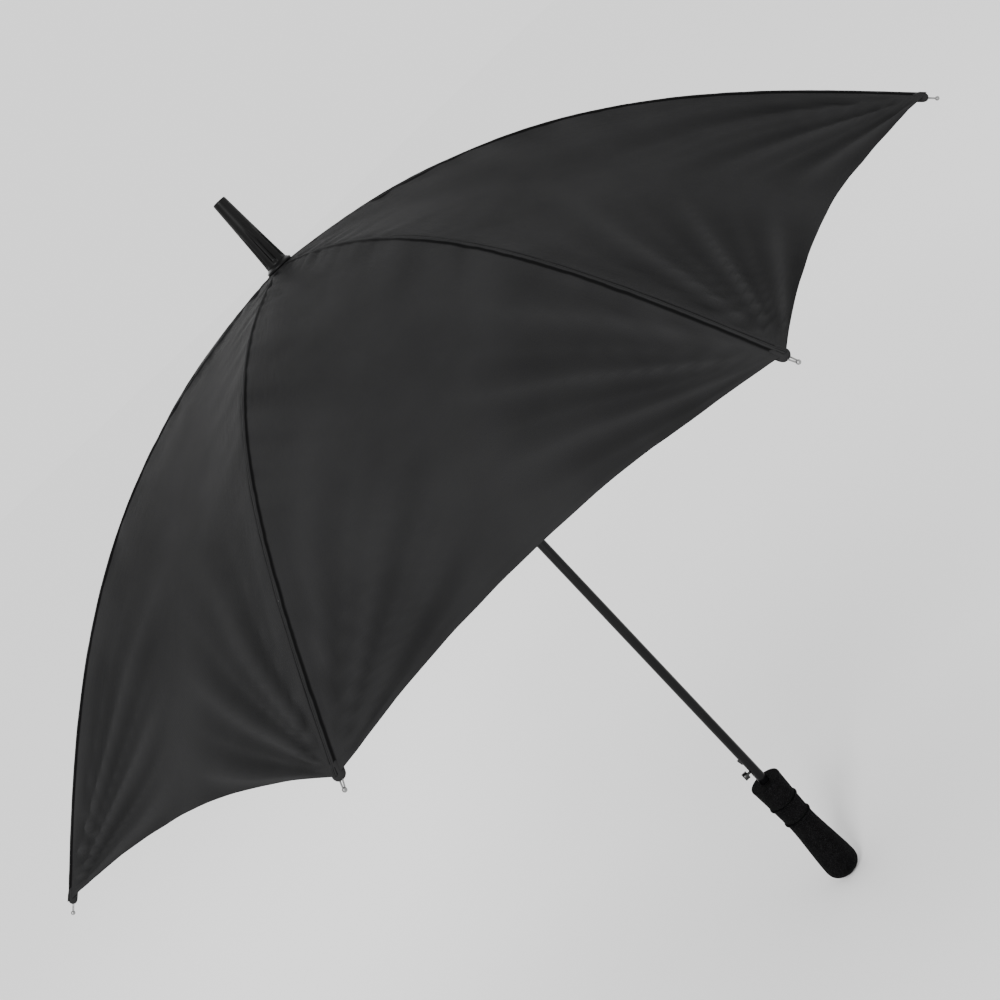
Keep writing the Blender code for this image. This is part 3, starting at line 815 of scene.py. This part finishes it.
def grip_band(word, z):
    """A raised ring round the grip."""
    centre = grip_radius(z) + BAND_OUT
    shape = bmesh.new()
    rows = []
    for i in range(GRIP_SEGMENTS):
        a = 2 * math.pi * i / GRIP_SEGMENTS
        row = []
        for j in range(BAND_AROUND):
            b = 2 * math.pi * j / BAND_AROUND
            r = centre + GRIP_RING_R * math.cos(b)
            place = (r * math.cos(a), r * math.sin(a), z + GRIP_RING_R * math.sin(b))
            row.append(shape.verts.new(place))
        rows.append(row)
    for a, b in zip(rows, rows[1:] + rows[:1]):
        for j in range(BAND_AROUND):
            k = (j + 1) % BAND_AROUND
            shape.faces.new((a[j], b[j], b[k], a[k]))
    return mesh_object(f"grip_band_{word}", shape, FOAM)


def grip():
    pieces = {"foam_grip": grip_body()}
    for word, z in zip(("upper", "lower"), GRIP_RING_Z):
        pieces[f"grip_ring_{word}"] = grip_band(word, z)
    for node, piece in pieces.items():
        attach(piece, "shaft")
        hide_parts(node)


# Shaft and catch

SHAFT_SEGMENTS = 96
SHAFT_WALL = 0.0007
STATION_START = 0.22
STATION_STEP = 0.02
WINDOW_HALF = 0.0018
WINDOW_ROW = 2  # the stretch of the tube that the catch's window is cut in
LEAF_X = -0.0040
LEAF_SIZE = (0.0008, 0.0028, 0.037)
TOOTH_HALF = 0.0012
TOOTH_OUTLINE = (
    (LEAF_X, -0.0040), (-0.0064, -0.0038), (-0.0077, 0.0032), (-0.0074, 0.0039), (LEAF_X, 0.0040),
)
KNOB_SEGMENTS = 48
# radius and distance from the shaft's axis: stem, face, groove and rounded end
KNOB_PROFILE = (
    (0.0016, 0.0046), (0.0016, 0.0082), (0.0024, 0.0084), (0.0043, 0.0085), (0.0046, 0.0089),
    (0.0046, 0.0106), (0.0043, 0.0109), (0.0043, 0.0113), (0.0046, 0.0116), (0.0046, 0.0142),
    (0.0042, 0.0149), (0.0020, 0.0150),
)


def shaft():
    """The lacquered tube, with the catch's window in it."""
    low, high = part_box("shaft_tube")[0][2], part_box("shaft_tube")[1][2]
    stations = [low, 0.150, KNOB_Z - 0.003, TOOTH_Z + 0.006]
    z = STATION_START
    while z < high - STATION_STEP:
        stations.append(z)
        z += STATION_STEP
    stations.append(high)
    angles = [2 * math.pi * i / SHAFT_SEGMENTS for i in range(SHAFT_SEGMENTS)]
    shape = bmesh.new()
    rows = []
    for z in stations:
        rows.append([shape.verts.new((SHAFT_R * math.cos(a), SHAFT_R * math.sin(a), z)) for a in angles])
    for n, (a, b) in enumerate(zip(rows, rows[1:])):
        for i in range(SHAFT_SEGMENTS):
            j = (i + 1) % SHAFT_SEGMENTS
            middle = (a[i].co + a[j].co) / 2
            if n == WINDOW_ROW and middle.x < 0 and abs(middle.y) < WINDOW_HALF:
                continue
            shape.faces.new((a[i], a[j], b[j], b[i]))
    tube = mesh_object("shaft_gloss", shape, LACQUER, smooth_angle=40)
    wall = tube.modifiers.new("Wall", "SOLIDIFY")
    wall.thickness = SHAFT_WALL
    wall.offset = -1
    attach(tube, "shaft")
    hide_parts("shaft_tube")


def catch():
    """Spring strip with a ramped tooth, and a button on a stem."""
    shape = bmesh.new()
    bmesh.ops.create_cube(shape, size=1)
    place = Matrix.Translation((LEAF_X, 0, (KNOB_Z + TOOTH_Z) / 2))
    shape.transform(place @ Matrix.Diagonal((*LEAF_SIZE, 1)))
    strip = mesh_object("catch_leaf", shape, KNOB_METAL, smooth_angle=40)
    shape = bmesh.new()
    sides = []
    for y in (-TOOTH_HALF, TOOTH_HALF):
        sides.append([shape.verts.new((x, y, TOOTH_Z + rise)) for x, rise in TOOTH_OUTLINE])
    shape.faces.new(sides[0][::-1])
    shape.faces.new(sides[1])
    for i in range(len(TOOTH_OUTLINE)):
        j = (i + 1) % len(TOOTH_OUTLINE)
        shape.faces.new((sides[0][i], sides[0][j], sides[1][j], sides[1][i]))
    bmesh.ops.recalc_face_normals(shape, faces=shape.faces)
    tooth = mesh_object("catch_tooth", shape, KNOB_METAL, smooth_angle=30)
    rim = tooth.modifiers.new("Rim", "BEVEL")
    rim.width = 0.0003
    rim.segments = 3
    shape = turned_shape(KNOB_PROFILE, KNOB_SEGMENTS)
    shape.transform(Matrix.Translation((0, 0, KNOB_Z)) @ Matrix.Rotation(-math.pi / 2, 4, "Y"))
    knob = mesh_object("release_button", shape, KNOB_METAL, smooth_angle=40)
    for piece in (strip, tooth, knob):
        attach(piece, "release_catch")
    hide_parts("catch_strip")
    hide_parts("release_knob")


# Frame nodes that keep their shape

def finish_frame():
    finishes = {
        "handle_core": CROWN_PLASTIC, "crown_hub": CROWN_PLASTIC, "runner_sleeve": CROWN_PLASTIC,
        "crown_wire": SILVER, "runner_wire": SILVER,
    }
    for k in range(1, RIB_COUNT + 1):
        finishes[f"rib_{k}"] = FIBRE
        finishes[f"stretcher_{k}"] = FIBRE
    for node, finish in finishes.items():
        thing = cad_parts[node]
        for slot in thing.material_slots:
            slot.material = finish


# Stage

FLOOR_SIZE = 60
FLOOR_DROP = 0.0005
WORLD_STRENGTH = 1.4
# name, place, target, size and power
LIGHTS = (
    ("key", (-1.0, -2.9, 2.2), (0, 0, 0.6), 0.9, 95),
    ("fill", (2.4, -1.6, 1.2), (0, 0, 0.6), 1.4, 6),
    ("rim", (-0.6, 1.8, 2.0), (0, 0, 0.9), 1.2, 8),
)


def area_light(name, place, target, size, power):
    data = bpy.data.lights.new(name, "AREA")
    data.shape = "RECTANGLE"
    data.size = size
    data.size_y = size
    data.energy = power
    light = link(bpy.data.objects.new(name, data))
    light.location = place
    light.visible_camera = False
    light.rotation_euler = (Vector(target) - Vector(place)).to_track_quat("-Z", "Y").to_euler()


def stage():
    floor_material = Shader("floor", (0.97, 0.97, 0.97), 0.95, Specular_IOR_Level=0.0)
    shape = bmesh.new()
    bmesh.ops.create_grid(shape, x_segments=1, y_segments=1, size=FLOOR_SIZE)
    floor = mesh_object("floor", shape, floor_material.material)
    floor.location = (0, 0, -FLOOR_DROP)
    world = bpy.data.worlds.new("studio")
    bpy.context.scene.world = world
    world.use_nodes = True
    sky = world.node_tree.nodes["Background"]
    sky.inputs["Color"].default_value = (1, 1, 1, 1)
    sky.inputs["Strength"].default_value = WORLD_STRENGTH
    for light in LIGHTS:
        area_light(*light)


def camera():
    toward = Vector((0, -math.cos(ELEVATION), math.sin(ELEVATION)))
    upright = Vector((0, math.sin(ELEVATION), math.cos(ELEVATION)))
    across = Vector((1, 0, 0))
    right = across * math.cos(ROLL) - upright * math.sin(ROLL)
    up = across * math.sin(ROLL) + upright * math.cos(ROLL)
    made = bpy.data.cameras.new("camera")
    made.lens = LENS
    made.sensor_width = SENSOR_WIDTH
    made.clip_start = CLIP_START
    made.clip_end = CLIP_END
    thing = link(bpy.data.objects.new("camera", made))
    turn = Matrix((right, up, toward)).transposed().to_4x4()
    thing.matrix_world = Matrix.Translation(AIM + toward * DISTANCE) @ turn
    bpy.context.scene.camera = thing


camera()
stage()
finish_frame()
canopy()
rib_tips()
corner_pockets()
ferrule()
grip()
shaft()
catch()
